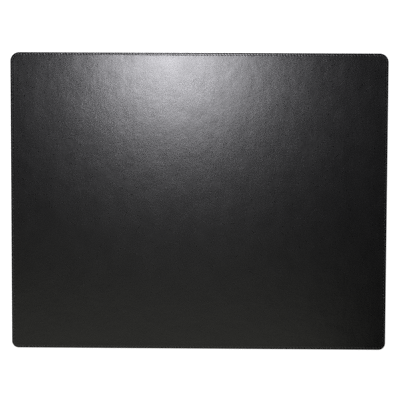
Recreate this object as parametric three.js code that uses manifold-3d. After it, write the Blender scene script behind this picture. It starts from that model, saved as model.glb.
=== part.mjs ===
// A leather desk mat with a turned and stitched edge, in millimetres, +Z up.
// The origin is the middle of the underside. +X runs along the long side, and +Y points to the rear edge.
//
// From the desk up it is a felt backing, a fibreboard core and a leather cover. The cover is drawn over the
// board's edge and turned under it as a thin hem, which the felt hides. One lockstitch seam runs round the
// edge: its needle thread lies on the leather and its bobbin thread lies in the felt.
import * as THREE from "three";
import { mergeVertices } from "three/addons/utils/BufferGeometryUtils.js";
import Module from "manifold-3d";

// Outline
const LENGTH = 609.6; // 24 in, along X
const WIDTH = 482.6; // 19 in, along Y
const REAR_CORNER_RADIUS = 14.5;
const FRONT_CORNER_RADIUS = 11;

// Thickness of each layer
const FELT = 1.4;
const BOARD = 1.5;
const LEATHER = 0.9;
const GLUE = 0.1; // the film between two layers, left as a gap

// Turned edge
const EDGE_ROUND = 1.5; // radius of the rolled leather edge, on its outside
const HEM = 0.5; // the leather is skived to this where it is turned under
const HEM_WIDTH = 10; // from the outer edge to the hem's raw edge; less than the smallest corner radius
const HEM_CLEARANCE = 0.3; // between the hem's raw edge and the full thickness of the felt
const FELT_INSET = 1.5; // the felt stops this far inside the outer edge

// Seam
const STITCH_INSET = 3.5; // from the outer edge to the middle of the seam
const THREAD_WIDTH = 0.7;
const THREAD_HEIGHT = 0.45; // a laid stitch is pulled slightly flat
const CREASE_WIDTH = 0.9; // the seam pulls a crease of this width into the leather and the felt
const CREASE_DEPTH = 0.5;

// Fineness of the round stretches
const CORNER_SEGMENTS = 5;
const EDGE_SEGMENTS = 3;
const THREAD_SEGMENTS = 2;

// Levels above the desk
const FELT_TOP = FELT;
const HEM_BOTTOM = FELT - HEM;
const FELT_RIM_TOP = HEM_BOTTOM - GLUE;
const BOARD_BOTTOM = FELT + GLUE;
const BOARD_TOP = BOARD_BOTTOM + BOARD;
const TOP = BOARD_TOP + GLUE + LEATHER;

const wasm = await Module();
wasm.setup();

// The mat's outline, moved inwards by inset, as the points of a path or of a shape.
function drawOutline(path, inset) {
  const x = LENGTH / 2 - inset;
  const y = WIDTH / 2 - inset;
  const rear = REAR_CORNER_RADIUS - inset;
  const front = FRONT_CORNER_RADIUS - inset;
  const quarter = Math.PI / 2;
  path.moveTo(-x + front, -y);
  path.absarc(x - front, -y + front, front, -quarter, 0);
  path.absarc(x - rear, y - rear, rear, 0, quarter);
  path.absarc(-x + rear, y - rear, rear, quarter, 2 * quarter);
  path.absarc(-x + front, -y + front, front, 2 * quarter, 3 * quarter);
  path.closePath();
  return path;
}

// A shape of the mat's outline drawn up to z from low to high, with its edges rounded off by round across and
// rise up and down.
function extruded(shape, low, high, round, rise, segments) {
  const geometry = new THREE.ExtrudeGeometry(shape, {
    depth: high - low - 2 * rise,
    curveSegments: CORNER_SEGMENTS,
    bevelEnabled: round > 0,
    bevelSize: round,
    bevelOffset: -round,
    bevelThickness: rise,
    bevelSegments: segments,
  });
  return geometry.translate(0, 0, low + rise);
}

// A flat sheet of the mat's outline, with its edge rounded by round.
function sheet(inset, low, high, round = 0) {
  const shape = drawOutline(new THREE.Shape(), inset);
  return extruded(shape, low, high, round, round, EDGE_SEGMENTS);
}

// A band that follows the outline, centred on the seam and width wide, with its sides rounded by round.
function seamBand(width, low, high, round = 0, rise = 0) {
  const shape = drawOutline(new THREE.Shape(), STITCH_INSET - width / 2);
  shape.holes.push(drawOutline(new THREE.Path(), STITCH_INSET + width / 2));
  return extruded(shape, low, high, round, rise, THREAD_SEGMENTS);
}

// A closed geometry as a manifold-3d solid.
function solid(geometry) {
  const bare = geometry.clone();
  bare.deleteAttribute("normal");
  bare.deleteAttribute("uv");
  const merged = mergeVertices(bare, 1e-4);
  return new wasm.Manifold(
    new wasm.Mesh({
      numProp: 3,
      vertProperties: new Float32Array(merged.attributes.position.array),
      triVerts: new Uint32Array(merged.index.array),
    }),
  );
}

// A manifold-3d solid as a geometry.
function geometryOf(made) {
  const mesh = made.getMesh();
  const geometry = new THREE.BufferGeometry();
  geometry.setAttribute("position", new THREE.BufferAttribute(mesh.vertProperties, 3));
  geometry.setIndex(new THREE.BufferAttribute(mesh.triVerts, 1));
  const faceted = geometry.toNonIndexed();
  faceted.computeVertexNormals();
  return faceted;
}

function piece(name, geometry, color, roughness) {
  const material = new THREE.MeshStandardMaterial({ color, roughness, metalness: 0 });
  const mesh = new THREE.Mesh(geometry, material);
  mesh.name = name;
  return mesh;
}

// The leather: a shallow tray turned upside down, with the hem as its inward lip and a crease for the seam.
function topCover() {
  const outside = solid(sheet(0, HEM_BOTTOM, TOP, EDGE_ROUND));
  const pocket = solid(sheet(LEATHER, FELT_TOP, TOP - LEATHER, EDGE_ROUND - LEATHER));
  const mouth = solid(sheet(HEM_WIDTH, HEM_BOTTOM - HEM, FELT_TOP + HEM));
  const crease = solid(seamBand(CREASE_WIDTH, TOP - CREASE_DEPTH, TOP + CREASE_DEPTH));
  const leather = outside.subtract(pocket).subtract(mouth).subtract(crease);
  return piece("top_cover", geometryOf(leather), 0x161617, 0.4);
}

// The stiffener, which fills the leather's pocket.
function coreBoard() {
  const round = EDGE_ROUND - LEATHER - GLUE;
  const board = sheet(LEATHER + GLUE, BOARD_BOTTOM, BOARD_TOP, round);
  return piece("core_board", board, 0x6f675c, 0.9);
}

// The felt: full thickness inside the hem, pressed thinner over it, with a crease for the seam.
function feltBacking() {
  const middle = solid(sheet(HEM_WIDTH + HEM_CLEARANCE, 0, FELT_TOP));
  const rim = solid(sheet(FELT_INSET, 0, FELT_RIM_TOP));
  const crease = solid(seamBand(CREASE_WIDTH, -CREASE_DEPTH, CREASE_DEPTH));
  const felt = middle.add(rim).subtract(crease);
  return piece("felt_backing", geometryOf(felt), 0x1b1b1c, 0.95);
}

// One thread of the seam, as a closed ring with a rounded section whose lowest level is low.
function thread(name, low) {
  const round = THREAD_WIDTH / 3;
  const rise = THREAD_HEIGHT / 3;
  const ring = seamBand(THREAD_WIDTH, low, low + THREAD_HEIGHT, round, rise);
  return piece(name, ring, 0x101011, 0.6);
}

const mat = new THREE.Group();
mat.add(feltBacking());
mat.add(coreBoard());
mat.add(topCover());
mat.add(thread("needle_thread", TOP - THREAD_HEIGHT));
mat.add(thread("bobbin_thread", 0));

export default mat;
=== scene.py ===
"""A black leather desk mat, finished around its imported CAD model: metres, +Z up, origin under its middle.

The cover is one sheet of finished leather, rolled over the board's edge and stitched all round. The felt on
the underside is glued on and caught by the same seam.
"""
import math
import random

import bmesh
import bpy
from mathutils import Matrix, Vector, noise


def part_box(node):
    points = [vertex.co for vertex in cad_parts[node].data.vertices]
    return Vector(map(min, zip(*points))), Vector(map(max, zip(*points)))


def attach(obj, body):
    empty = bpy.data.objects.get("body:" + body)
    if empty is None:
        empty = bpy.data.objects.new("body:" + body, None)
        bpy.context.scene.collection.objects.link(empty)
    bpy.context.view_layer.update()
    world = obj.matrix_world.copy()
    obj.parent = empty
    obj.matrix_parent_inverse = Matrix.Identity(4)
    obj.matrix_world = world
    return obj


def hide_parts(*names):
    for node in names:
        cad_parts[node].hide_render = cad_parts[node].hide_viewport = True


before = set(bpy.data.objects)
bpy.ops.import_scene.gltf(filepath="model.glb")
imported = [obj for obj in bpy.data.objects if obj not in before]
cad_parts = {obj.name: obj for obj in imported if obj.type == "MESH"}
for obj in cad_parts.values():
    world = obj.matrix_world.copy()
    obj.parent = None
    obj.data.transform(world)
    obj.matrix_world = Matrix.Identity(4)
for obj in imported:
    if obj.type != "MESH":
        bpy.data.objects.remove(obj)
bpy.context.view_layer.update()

MM = 0.001

# Outline: the rear corners are a little rounder than the front ones.
REAR_CORNER = 14.5 * MM
FRONT_CORNER = 11 * MM

# Turned edge
LEATHER = 0.9 * MM
HEM = 0.5 * MM
HEM_WIDTH = 10 * MM
EDGE_ROUND = 1.3 * MM  # outside; the pocket's own round is INNER_ROUND
INNER_ROUND = 0.6 * MM
BORDER_FALL = 0.3 * MM  # the stitched border is pressed down this far at the very edge
FELT_INSET = 1.5 * MM
FELT_STEP_INSET = 10.3 * MM  # inside this the felt has its full thickness

# Seam
STITCH_INSET = 3.5 * MM
STRAY = 1.0 * MM  # left of the middle of the rear edge the seam strays this much nearer the edge
STRAY_SPOT = Vector((-150 * MM, 241 * MM))
STRAY_LENGTH = 50 * MM
PITCH = {"front": 5.0 * MM, "side": 5.5 * MM, "rear": 4.7 * MM, "turn": 4.3 * MM}
PITCH_DRIFT = 0.05  # each needle hole is off its even place by up to this share of the pitch
THREAD_WIDTH = 0.9 * MM
THREAD_HEIGHT = 0.5 * MM
LAID_SHARE = 0.72  # the share of the pitch that a stitch spans above its holes
STITCH_SLANT = math.radians(11)  # a leather needle lays each stitch a little across the seam
OVERLAP_START = 0.82  # along the rear run, where the seam's end is sewn over its start
OVERLAP_STITCHES = 4

# How the seam shapes the surface
CREASE_DEPTH = 0.05 * MM  # under the stitches, all along
CREASE_WIDTH = 0.7 * MM
SLOT_SLANT = math.radians(55)  # the leather needle cuts slots, at this angle to the seam
SLOT_DEPTH = 0.18 * MM  # each slot is the bottom of a dent, where the thread is pulled in
SLOT_LENGTH = 0.9 * MM
SLOT_WIDTH = 0.7 * MM
OUTWARD_STRETCH = 1.7  # crease and dents rise this much more gently on the side of the edge
PUCKER_HEIGHT = 0.05 * MM  # the ridge just inside the seam
PUCKER_OFF = 1.7 * MM  # from the seam
PUCKER_WIDTH = 1.1 * MM
PUCKER_DIP = 0.4  # beside a needle hole the ridge is lower by this share
THREAD_PROUD = 0.1 * MM  # the middle of a laid stitch stands this far above the crease

# Insets of the loops that shape the surface beside the seam: close together where it bends most
COVER_LOOPS = [k * MM for k in (1.4, 1.9, 2.3, 2.7, 3.0, 3.25, 3.5, 3.75, 4.0, 4.4, 4.9, 5.5, 6.3, 7.4)]
FELT_LOOPS = [k * MM for k in (5.8, 5.1, 4.5, 4.0, 3.75, 3.5, 3.25, 3.0, 2.5, 2.0)]
FELT_FLAT_INSET = 7.4 * MM  # inside this the felt's underside is flat
FELT_SOFT = 0.2 * MM  # how far its cut edge is rounded

# The leather's own unevenness over the board
SWELL_HEIGHT = 0.05 * MM
SWELL_LENGTH = 55 * MM
SWELL_START = 7 * MM  # it begins this far inside the edge
SWELL_RUN = 14 * MM  # and is full this much further in
PANEL_CELL = 6 * MM  # the top face is divided this finely

# Levels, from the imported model
cover_low, cover_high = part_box("top_cover")
board_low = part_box("core_board")[0]
felt_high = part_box("felt_backing")[1]
HALF_X = cover_high.x
HALF_Y = cover_high.y
TOP = cover_high.z
HEM_BOTTOM = cover_low.z
POCKET_TOP = TOP - LEATHER
POCKET_BOTTOM = HEM_BOTTOM + HEM
FELT_TOP = felt_high.z
FELT_RIM_TOP = HEM_BOTTOM - (board_low.z - felt_high.z)

chance = random.Random(24)


# ------------------------------------------------------------ the outline and the seam

def outline_stretches():
    """The outer edge, anticlockwise from the front left corner, as straight runs and quarter turns."""
    rear_x, rear_y = HALF_X - REAR_CORNER, HALF_Y - REAR_CORNER
    front_x, front_y = HALF_X - FRONT_CORNER, HALF_Y - FRONT_CORNER
    return [
        {"kind": "front", "from": (-front_x, -HALF_Y), "to": (front_x, -HALF_Y), "out": (0, -1)},
        {"kind": "turn", "centre": (front_x, -front_y), "radius": FRONT_CORNER, "angle": -90},
        {"kind": "side", "from": (HALF_X, -front_y), "to": (HALF_X, rear_y), "out": (1, 0)},
        {"kind": "turn", "centre": (rear_x, rear_y), "radius": REAR_CORNER, "angle": 0},
        {"kind": "rear", "from": (rear_x, HALF_Y), "to": (-rear_x, HALF_Y), "out": (0, 1)},
        {"kind": "turn", "centre": (-rear_x, rear_y), "radius": REAR_CORNER, "angle": 90},
        {"kind": "side", "from": (-HALF_X, rear_y), "to": (-HALF_X, -front_y), "out": (-1, 0)},
        {"kind": "turn", "centre": (-front_x, -front_y), "radius": FRONT_CORNER, "angle": 180},
    ]


def seam_length(stretch):
    """Length of a stretch along the seam."""
    if stretch["kind"] == "turn":
        return math.pi / 2 * (stretch["radius"] - STITCH_INSET)
    return math.dist(stretch["from"], stretch["to"])


def on_stretch(stretch, share):
    """The point on the outer edge at a share of the stretch, and the outward direction there."""
    if stretch["kind"] == "turn":
        angle = math.radians(stretch["angle"] + 90 * share)
        out = Vector((math.cos(angle), math.sin(angle)))
        return Vector(stretch["centre"]) + out * stretch["radius"], out
    start, end = Vector(stretch["from"]), Vector(stretch["to"])
    return start.lerp(end, share), Vector(stretch["out"])


def seam_stitches():
    """Every stitch in order, as its stretch and the shares of it where the stitch starts and ends."""
    stitches = []
    for stretch in outline:
        count = round(seam_length(stretch) / PITCH[stretch["kind"]])
        drift = [0] + [chance.uniform(-PITCH_DRIFT, PITCH_DRIFT) for _ in range(count - 1)] + [0]
        holes = [(k + drift[k]) / count for k in range(count + 1)]
        stitches += [(stretch, start, end) for start, end in zip(holes, holes[1:])]
    return stitches


COLUMNS = (0, 0.09, 0.22, 0.5, 0.78, 0.91)  # of one stitch, as shares of the way to its other end


def edge_columns():
    """Where the edge's vertices stand: distance along the seam, and from there to the nearest needle hole."""
    columns = []
    travelled = 0
    for stretch, start, end in stitches:
        length = (end - start) * seam_length(stretch)
        for part in COLUMNS:
            past_hole = (part if part <= 0.5 else part - 1) * length
            columns.append((travelled + part * length, past_hole))
        travelled += length
    return columns


def on_edge(distance):
    """The point on the outer edge at a distance along the seam, and the outward direction there."""
    distance %= sum(seam_length(stretch) for stretch in outline)
    for stretch in outline:
        length = seam_length(stretch)
        if distance < length:
            return on_stretch(stretch, distance / length)
        distance -= length
    return on_stretch(outline[0], 0)


outline = outline_stretches()
stitches = seam_stitches()
columns = edge_columns()


def bell(distance, width):
    """1 at no distance, falling smoothly to nothing past the width."""
    return math.exp(-((distance / width) ** 2))


def seam_inset(point):
    """From a point on the outer edge to the seam."""
    return STITCH_INSET - STRAY * bell((point - STRAY_SPOT).length, STRAY_LENGTH)


seam_insets = [seam_inset(on_edge(distance)[0]) for distance, _ in columns]


def edge_spot(column, inset):
    """The place of an edge vertex at an inset. Near the seam the columns lean along the slots."""
    off = seam_insets[column] - inset
    lean = max(-1, min(1, off / SLOT_LENGTH)) * SLOT_LENGTH / math.tan(SLOT_SLANT)
    point, out = on_edge(columns[column][0] + lean)
    return point - out * inset


def pull(column, inset):
    """How deep the seam pulls the surface in at an edge vertex: a crease, and a dent along each slot."""
    off = seam_insets[column] - inset
    if off > 0:
        off /= OUTWARD_STRETCH
    dent = bell(columns[column][1] * math.sin(SLOT_SLANT), SLOT_WIDTH) * bell(off, SLOT_LENGTH)
    return CREASE_DEPTH * bell(off, CREASE_WIDTH) + SLOT_DEPTH * dent


def border_height(column, inset):
    """The leather's top beside the seam: pressed down towards the edge, puckered up just inside the seam."""
    seam = seam_insets[column]
    fall = BORDER_FALL * max(0, 1 - inset / seam) ** 2
    pucker = PUCKER_HEIGHT * bell(inset - seam - PUCKER_OFF, PUCKER_WIDTH)
    pucker *= 1 - PUCKER_DIP * bell(columns[column][1], SLOT_LENGTH)
    return TOP - fall + pucker - pull(column, inset)


# ------------------------------------------------------------ modelling helpers

def deselect_all():
    bpy.ops.object.select_all(action="DESELECT")


def start_edge(name):
    """A new piece in edit mode, holding one selected loop with a vertex for each column."""
    deselect_all()
    bpy.ops.mesh.primitive_circle_add(vertices=len(columns), radius=HALF_X)
    made = bpy.context.object
    made.name = made.data.name = name
    bpy.ops.object.mode_set(mode="EDIT")
    bpy.ops.mesh.select_mode(type="VERT")
    bpy.ops.mesh.select_all(action="SELECT")
    shape = bmesh.from_edit_mesh(made.data)
    column = shape.verts.layers.int.new("column")
    for vertex in shape.verts:
        vertex[column] = vertex.index
    bmesh.update_edit_mesh(made.data)
    return made


def place_ring(made, inset, level):
    """Moves the selected loop to an inset from the outer edge. level is a height or a function."""
    shape = bmesh.from_edit_mesh(made.data)
    column = shape.verts.layers.int["column"]
    for vertex in [v for v in shape.verts if v.select]:
        spot = edge_spot(vertex[column], inset)
        height = level(vertex[column], inset) if callable(level) else level
        vertex.co = (spot.x, spot.y, height)
    bmesh.update_edit_mesh(made.data)


def extrude_ring(made, inset, level):
    bpy.ops.mesh.extrude_region()
    place_ring(made, inset, level)


def extrude_quarter(made, inset, level, radius, first, steps):
    """Extrudes a quarter round about a centre, from the angle first: 0 faces the outer edge, 90 up."""
    for k in range(1, steps + 1):
        angle = math.radians(first + 90 * k / steps)
        extrude_ring(made, inset - radius * math.cos(angle), level + radius * math.sin(angle))


def select_loop(made, inset, level):
    """Selects the loop that stands at this inset and level."""
    bpy.ops.mesh.select_all(action="DESELECT")
    shape = bmesh.from_edit_mesh(made.data)
    column = shape.verts.layers.int["column"]
    near = 0.001 * MM
    for vertex in shape.verts:
        spot = edge_spot(vertex[column], inset)
        vertex.select = (vertex.co - Vector((spot.x, spot.y, level))).length < near
    shape.select_flush(True)
    bmesh.update_edit_mesh(made.data)


def cut_into_cells(cell):
    """Cuts the selected flat face into square cells."""
    bpy.ops.object.vertex_group_assign_new()
    for half, normal in ((HALF_X, (1, 0, 0)), (HALF_Y, (0, 1, 0))):
        count = round(2 * half / cell)
        for k in range(1, count):
            offset = 2 * half * k / count - half
            bpy.ops.mesh.select_all(action="DESELECT")
            bpy.ops.object.vertex_group_select()
            bpy.ops.mesh.bisect(plane_co=tuple(offset * n for n in normal), plane_no=normal)


def finish_piece(made, material):
    """Turns the faces outwards, shades them smooth between real edges, and gives the piece its finish."""
    if made.mode == "EDIT":
        bpy.ops.mesh.select_all(action="SELECT")
        bpy.ops.mesh.normals_make_consistent(inside=False)
        bpy.ops.object.mode_set(mode="OBJECT")
    deselect_all()
    made.select_set(True)
    bpy.context.view_layer.objects.active = made
    bpy.ops.object.shade_smooth_by_angle(angle=math.radians(40))
    made.data.materials.clear()
    made.data.materials.append(material)
    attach(made, "root")
    return made


# ------------------------------------------------------------ materials

def colour(code):
    """An sRGB hex colour as linear red, green, blue and alpha."""
    parts = [int(code[k:k + 2], 16) / 255 for k in (1, 3, 5)]
    return [p / 12.92 if p <= 0.04045 else ((p + 0.055) / 1.055) ** 2.4 for p in parts] + [1.0]


def node(material, kind, inputs=None, **options):
    """Adds a node with its options, and gives each input a value or another node's output."""
    made = material.node_tree.nodes.new(kind)
    for name, value in options.items():
        setattr(made, name, value)
    for name, value in (inputs or {}).items():
        if isinstance(value, bpy.types.NodeSocket):
            material.node_tree.links.new(value, made.inputs[name])
        else:
            made.inputs[name].default_value = value
    return made


def new_material(name):
    """A material with its Principled shader, and the piece's own coordinates in metres."""
    material = bpy.data.materials.new(name)
    material.use_nodes = True
    shader = material.node_tree.nodes["Principled BSDF"]
    place = node(material, "ShaderNodeTexCoord").outputs["Object"]
    return material, shader, place


def per_metre(size):
    """The scale of a pattern whose repeat has this size."""
    return 1 / size


def finished_leather():
    """Chrome-tanned hide with a pigmented black finish, rolled and plated smooth: a satin gloss over a fine
    pebble, with the soft unevenness of a hide under it."""
    material, shader, place = new_material("finished_leather")
    # The real pebble is about 1 mm; it is drawn at 2.4 mm, the finest that shows at a metre or more.
    pebble = node(material, "ShaderNodeTexVoronoi", {
        "Vector": place, "Scale": per_metre(2.4 * MM), "Randomness": 1.0,
    }, feature="SMOOTH_F1")
    creases = node(material, "ShaderNodeTexNoise", {
        "Vector": place, "Scale": per_metre(6 * MM), "Detail": 3.0, "Roughness": 0.6,
    })
    hide = node(material, "ShaderNodeTexNoise", {
        "Vector": place, "Scale": per_metre(32 * MM), "Detail": 3.0, "Roughness": 0.55,
    })
    # The plating rollers leave the hide's unevenness drawn out along the short side.
    drawn = node(material, "ShaderNodeMapping", {"Vector": place, "Scale": (1.0, 0.25, 1.0)})
    rolled = node(material, "ShaderNodeTexNoise", {
        "Vector": drawn.outputs["Vector"], "Scale": per_metre(16 * MM), "Detail": 2.0,
    })
    swell = node(material, "ShaderNodeBump", {
        "Height": hide.outputs["Fac"], "Distance": 0.3 * MM, "Strength": 1.0,
    })
    streaks = node(material, "ShaderNodeBump", {
        "Height": rolled.outputs["Fac"], "Distance": 0.1 * MM, "Strength": 1.0,
        "Normal": swell.outputs["Normal"],
    })
    folds = node(material, "ShaderNodeBump", {
        "Height": creases.outputs["Fac"], "Distance": 0.05 * MM, "Strength": 1.0,
        "Normal": streaks.outputs["Normal"],
    })
    grain = node(material, "ShaderNodeBump", {
        "Height": pebble.outputs["Distance"], "Distance": 0.017 * MM, "Strength": 1.0,
        "Normal": folds.outputs["Normal"],
    })
    gloss = node(material, "ShaderNodeMapRange", {
        "Value": hide.outputs["Fac"], "To Min": 0.27, "To Max": 0.33,
    })
    tone = node(material, "ShaderNodeMix", {
        "Factor": creases.outputs["Fac"], "A": colour("#0c0c0d"), "B": colour("#101011"),
    }, data_type="RGBA")
    links = material.node_tree.links
    links.new(tone.outputs["Result"], shader.inputs["Base Color"])
    links.new(gloss.outputs["Result"], shader.inputs["Roughness"])
    links.new(grain.outputs["Normal"], shader.inputs["Normal"])
    shader.inputs["IOR"].default_value = 1.5
    return material


def bonded_thread():
    """Bonded polyester sewing thread, dyed black: three plies in a twist, with a dull sheen."""
    material, shader, _ = new_material("bonded_thread")
    around = node(material, "ShaderNodeUVMap").outputs["UV"]
    plies = node(material, "ShaderNodeTexWave", {
        "Vector": around, "Scale": 1.0, "Distortion": 0.0,
    }, bands_direction="DIAGONAL")
    twist = node(material, "ShaderNodeBump", {
        "Height": plies.outputs["Fac"], "Distance": 0.1 * MM, "Strength": 0.7,
    })
    material.node_tree.links.new(twist.outputs["Normal"], shader.inputs["Normal"])
    shader.inputs["Base Color"].default_value = colour("#363637")
    shader.inputs["Roughness"].default_value = 0.4
    shader.inputs["Sheen Weight"].default_value = 0.2
    return material


def pressed_felt():
    """Needled wool-mix felt, dyed black and pressed: no gloss, a soft fuzz and fibres every way."""
    material, shader, place = new_material("pressed_felt")
    fibres = node(material, "ShaderNodeTexNoise", {
        "Vector": place, "Scale": per_metre(1.5 * MM), "Detail": 6.0, "Roughness": 0.75, "Distortion": 1.5,
    })
    clumps = node(material, "ShaderNodeTexNoise", {
        "Vector": place, "Scale": per_metre(9 * MM), "Detail": 3.0,
    })
    nap = node(material, "ShaderNodeBump", {
        "Height": fibres.outputs["Fac"], "Distance": 0.5 * MM, "Strength": 0.8,
    })
    tone = node(material, "ShaderNodeMix", {
        "Factor": clumps.outputs["Fac"], "A": colour("#17171a"), "B": colour("#28282b"),
    }, data_type="RGBA")
    links = material.node_tree.links
    links.new(tone.outputs["Result"], shader.inputs["Base Color"])
    links.new(nap.outputs["Normal"], shader.inputs["Normal"])
    shader.inputs["Roughness"].default_value = 0.95
    shader.inputs["Sheen Weight"].default_value = 0.4
    return material


def grey_board():
    """Solid board pressed from recycled fibre: matt grey brown, flecked with darker and lighter fibres."""
    material, shader, place = new_material("grey_board")
    flecks = node(material, "ShaderNodeTexNoise", {
        "Vector": place, "Scale": per_metre(1.2 * MM), "Detail": 5.0, "Roughness": 0.7,
    })
    tone = node(material, "ShaderNodeMix", {
        "Factor": flecks.outputs["Fac"], "A": colour("#655d52"), "B": colour("#93897a"),
    }, data_type="RGBA")
    rough = node(material, "ShaderNodeBump", {
        "Height": flecks.outputs["Fac"], "Distance": 0.1 * MM, "Strength": 0.5,
    })
    links = material.node_tree.links
    links.new(tone.outputs["Result"], shader.inputs["Base Color"])
    links.new(rough.outputs["Normal"], shader.inputs["Normal"])
    shader.inputs["Roughness"].default_value = 0.9
    return material


# ------------------------------------------------------------ pieces

def swell_leather(made):
    """Lets the leather rise and fall a little over the board, more so away from the seam."""
    for vertex in made.data.vertices:
        inward = min(HALF_X - abs(vertex.co.x), HALF_Y - abs(vertex.co.y)) - SWELL_START
        if inward <= 0 or vertex.co.z < POCKET_TOP + LEATHER / 2:
            continue
        share = min(1, inward / SWELL_RUN)
        height = noise.noise(vertex.co / SWELL_LENGTH)
        vertex.co.z += SWELL_HEIGHT * share * height


def make_cover():
    """The leather: hem, rolled edge, stitched border and top face outside, and the board's pocket inside."""
    made = start_edge("leather_cover")
    place_ring(made, HEM_WIDTH, HEM_BOTTOM)
    extrude_ring(made, EDGE_ROUND, HEM_BOTTOM)
    extrude_quarter(made, EDGE_ROUND, HEM_BOTTOM + EDGE_ROUND, EDGE_ROUND, -90, 3)
    shoulder = TOP - BORDER_FALL - EDGE_ROUND
    extrude_ring(made, 0, shoulder)
    for angle in (25, 50, 70):
        inset = EDGE_ROUND * (1 - math.cos(math.radians(angle)))
        extrude_ring(made, inset, shoulder + EDGE_ROUND * math.sin(math.radians(angle)))
    for inset in COVER_LOOPS:
        extrude_ring(made, inset, border_height)
    bpy.ops.mesh.edge_face_add()
    cut_into_cells(PANEL_CELL)
    select_loop(made, HEM_WIDTH, HEM_BOTTOM)
    extrude_ring(made, HEM_WIDTH, POCKET_BOTTOM)
    extrude_ring(made, LEATHER + INNER_ROUND, POCKET_BOTTOM)
    extrude_quarter(made, LEATHER + INNER_ROUND, POCKET_BOTTOM + INNER_ROUND, INNER_ROUND, -90, 1)
    extrude_ring(made, LEATHER, POCKET_TOP - INNER_ROUND)
    extrude_quarter(made, LEATHER + INNER_ROUND, POCKET_TOP - INNER_ROUND, INNER_ROUND, 0, 1)
    bpy.ops.mesh.edge_face_add()
    bpy.ops.object.mode_set(mode="OBJECT")
    swell_leather(made)
    bpy.ops.object.mode_set(mode="EDIT")
    finish_piece(made, finished_leather())
    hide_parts("top_cover")
    return made


def make_felt():
    """The felt: creased by the seam below, thin over the hem, full thickness inside it."""
    made = start_edge("felt_sheet")
    place_ring(made, FELT_FLAT_INSET, 0)
    for inset in FELT_LOOPS:
        extrude_ring(made, inset, pull)
    extrude_ring(made, FELT_INSET + FELT_SOFT / 3, FELT_SOFT / 3)
    extrude_ring(made, FELT_INSET, FELT_SOFT)
    extrude_ring(made, FELT_INSET, FELT_RIM_TOP - FELT_SOFT)
    extrude_ring(made, FELT_INSET + FELT_SOFT, FELT_RIM_TOP)
    extrude_ring(made, FELT_STEP_INSET, FELT_RIM_TOP)
    extrude_ring(made, FELT_STEP_INSET, FELT_TOP)
    bpy.ops.mesh.edge_face_add()
    select_loop(made, FELT_FLAT_INSET, 0)
    bpy.ops.mesh.edge_face_add()
    finish_piece(made, pressed_felt())
    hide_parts("felt_backing")
    return made


def model_stitch():
    """One stitch of length 1 along X, arched: its ends dive into their needle holes."""
    deselect_all()
    bpy.ops.mesh.primitive_cylinder_add(
        vertices=6, radius=0.5, depth=1, end_fill_type="NGON", rotation=(0, math.pi / 2, 0))
    made = bpy.context.object
    bpy.ops.object.transform_apply(location=False, rotation=True, scale=True)
    bpy.ops.object.mode_set(mode="EDIT")
    bpy.ops.mesh.select_all(action="DESELECT")
    shape = bmesh.from_edit_mesh(made.data)
    for edge in shape.edges:
        edge.select = abs(edge.verts[0].co.x - edge.verts[1].co.x) > 0.5
    bmesh.update_edit_mesh(made.data)
    bpy.ops.mesh.subdivide(number_cuts=5)
    bpy.ops.object.mode_set(mode="OBJECT")
    for vertex in made.data.vertices:
        along = 2 * vertex.co.x
        slim = 1 - 0.45 * abs(along) ** 3
        vertex.co.x = 0.5 * math.copysign(abs(along) ** 0.8, along)
        vertex.co.y *= THREAD_WIDTH * slim
        vertex.co.z = vertex.co.z * THREAD_HEIGHT * slim - THREAD_HEIGHT * abs(along) ** 4
    return made


def lay_stitches(name, stitches_to_lay, level, side):
    """Copies the stitch along the seam. side is 1 on the leather and -1 on the felt."""
    pattern = model_stitch()
    copies = []
    for stretch, start, end, lift in stitches_to_lay:
        point, out = on_stretch(stretch, (start + end) / 2)
        middle = point - out * seam_inset(point)
        length = (end - start) * seam_length(stretch) * LAID_SHARE
        heading = math.atan2(out.x, -out.y) + STITCH_SLANT
        copy = pattern.copy()
        copy.data = pattern.data.copy()
        size = Matrix.Diagonal((length, 1, side, 1))
        turn = Matrix.Rotation(heading, 4, "Z")
        place = Matrix.Translation((middle.x, middle.y, level + side * lift))
        copy.data.transform(place @ turn @ size)
        bpy.context.collection.objects.link(copy)
        copies.append(copy)
    bpy.data.objects.remove(pattern)
    deselect_all()
    for copy in copies:
        copy.select_set(True)
    bpy.context.view_layer.objects.active = copies[0]
    bpy.ops.object.join()
    made = bpy.context.object
    made.name = made.data.name = name
    bpy.ops.object.mode_set(mode="EDIT")
    return made


def overlap_stitches():
    """The seam's last stitches, sewn over its first ones half a stitch out of step."""
    rear = [s for s in stitches if s[0]["kind"] == "rear"]
    first = round(len(rear) * OVERLAP_START)
    lift = 0.5 * THREAD_HEIGHT
    found = []
    for stretch, start, end in rear[first:first + OVERLAP_STITCHES]:
        half = (end - start) / 2
        found.append((stretch, start + half, end + half, lift))
    return found


def make_threads():
    thread = bonded_thread()
    laid = [(*stitch, 0) for stitch in stitches]
    over = TOP - CREASE_DEPTH + THREAD_PROUD
    upper = lay_stitches("needle_stitches", laid + overlap_stitches(), over, 1)
    finish_piece(upper, thread)
    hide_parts("needle_thread")
    under = THREAD_HEIGHT / 2
    lower = lay_stitches("bobbin_stitches", laid, under, -1)
    finish_piece(lower, thread)
    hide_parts("bobbin_thread")


def dress_board():
    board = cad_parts["core_board"]
    board.data.materials.clear()
    board.data.materials.append(grey_board())


# ------------------------------------------------------------ stage, light and camera

FLOOR_DROP = 0.1 * MM  # the floor lies this far under the mat
FLOOR_SIZE = 12.0
WALL_RADIUS = 5.9
WALL_HEIGHT = 12.0
LAMP_TINT = "#faf9ff"
SCREEN_TINT = "#fffff0"


def white_sweep():
    """Pale painted board, lit evenly from within like a light table, so that it shows no edge."""
    material, shader, _ = new_material("white_sweep")
    shader.inputs["Base Color"].default_value = colour("#b4b4b4")
    shader.inputs["Roughness"].default_value = 1.0
    shader.inputs["Emission Color"].default_value = colour("#ffffff")
    shader.inputs["Emission Strength"].default_value = 0.92
    return material


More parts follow.
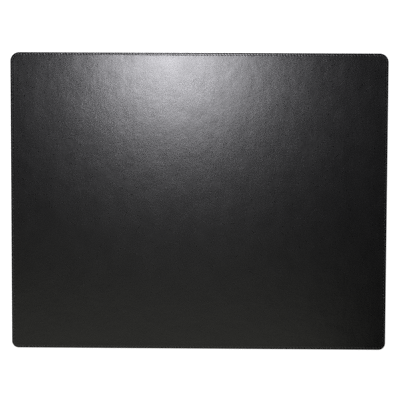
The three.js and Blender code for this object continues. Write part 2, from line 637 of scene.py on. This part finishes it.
def make_floor():
    """A pale seamless floor, and a round wall behind it that low views look towards."""
    sweep = white_sweep()
    deselect_all()
    bpy.ops.mesh.primitive_plane_add(size=FLOOR_SIZE, location=(0, 0, -FLOOR_DROP))
    floor = bpy.context.object
    floor.name = "floor"
    deselect_all()
    bpy.ops.mesh.primitive_cylinder_add(
        vertices=96, radius=WALL_RADIUS, depth=WALL_HEIGHT, end_fill_type="NOTHING",
        location=(0, 0, WALL_RADIUS))
    wall = bpy.context.object
    wall.name = "wall"
    for made in (floor, wall):
        made.data.materials.append(sweep)
        # The sweep's own light is only for the camera: the rolled edge would otherwise shine with it.
        made.visible_glossy = False
        made.visible_diffuse = False


def add_light(name, shape, size, radiance, place, aim, tint="#ffffff"):
    """A soft area light of this size and brightness at a place, facing a point."""
    data = bpy.data.lights.new(name, "AREA")
    data.shape = shape
    data.size = size[0]
    data.size_y = size[-1]
    area = size[0] * size[-1] * (math.pi / 4 if shape == "DISK" else 1)
    data.energy = math.pi * area * radiance
    data.color = colour(tint)[:3]
    made = bpy.data.objects.new(name, data)
    made.location = place
    made.rotation_euler = (Vector(aim) - Vector(place)).to_track_quat("-Z", "Y").to_euler()
    made.visible_camera = False
    bpy.context.collection.objects.link(made)


def make_lights():
    """A diffused lamp with a hot middle over the rear edge, and a dim screen along the front, raised
    so that it lights the top face and not the rolled edge."""
    add_light("lamp", "DISK", (0.27,), 19.6, (-0.054, 0.230, 0.7), (-0.054, 0.230, 0), LAMP_TINT)
    add_light("lamp_middle", "DISK", (0.12,), 29.5, (-0.084, 0.222, 0.69), (-0.084, 0.222, 0), LAMP_TINT)
    add_light(
        "front_screen", "RECTANGLE", (1.1, 1.1), 0.72, (-0.28, -0.36, 0.7), (-0.28, 0, 0.7), SCREEN_TINT)


def make_room():
    """A dim studio: a soft glow low down all round, which shallow views reflect, and dark overhead."""
    room = bpy.data.worlds.new("studio")
    room.use_nodes = True
    background = room.node_tree.nodes["Background"]
    background.inputs["Color"].default_value = colour("#ffffff")
    direction = node(room, "ShaderNodeTexCoord").outputs["Generated"]
    height = node(room, "ShaderNodeSeparateXYZ", {"Vector": direction}).outputs["Z"]
    above_floor = node(room, "ShaderNodeMapRange", {
        "Value": height, "From Min": -0.02, "From Max": 0.02, "To Min": 0.0, "To Max": 1.0,
    }).outputs["Result"]
    glow = node(room, "ShaderNodeMapRange", {
        "Value": height, "From Min": 0.4, "From Max": 0.9, "To Min": 0.16, "To Max": 0.002,
    }, interpolation_type="SMOOTHSTEP").outputs["Result"]
    level = node(room, "ShaderNodeMath", {0: above_floor, 1: glow}, operation="MULTIPLY").outputs["Value"]
    room.node_tree.links.new(level, background.inputs["Strength"])
    room.cycles.sampling_method = "NONE"
    bpy.context.scene.world = room


def make_camera():
    """Looks almost straight down from over the rear edge, from far enough to flatten the perspective."""
    data = bpy.data.cameras.new("camera")
    data.lens = 180.43
    data.sensor_width = 36
    data.clip_end = 20
    camera = bpy.data.objects.new("camera", data)
    camera.location = (69.3 * MM, 333.7 * MM, 3232.9 * MM + TOP)
    camera.rotation_euler = (-0.1018, 0.0211, 0.0033)
    bpy.context.collection.objects.link(camera)
    bpy.context.scene.camera = camera


make_camera()
cover = make_cover()
felt = make_felt()
make_threads()
dress_board()
make_floor()
make_lights()
make_room()
bpy.context.scene.view_settings.view_transform = "Standard"
# The denoiser takes the grain and the stitches for noise and smooths them away.
bpy.context.scene.cycles.use_denoising = False
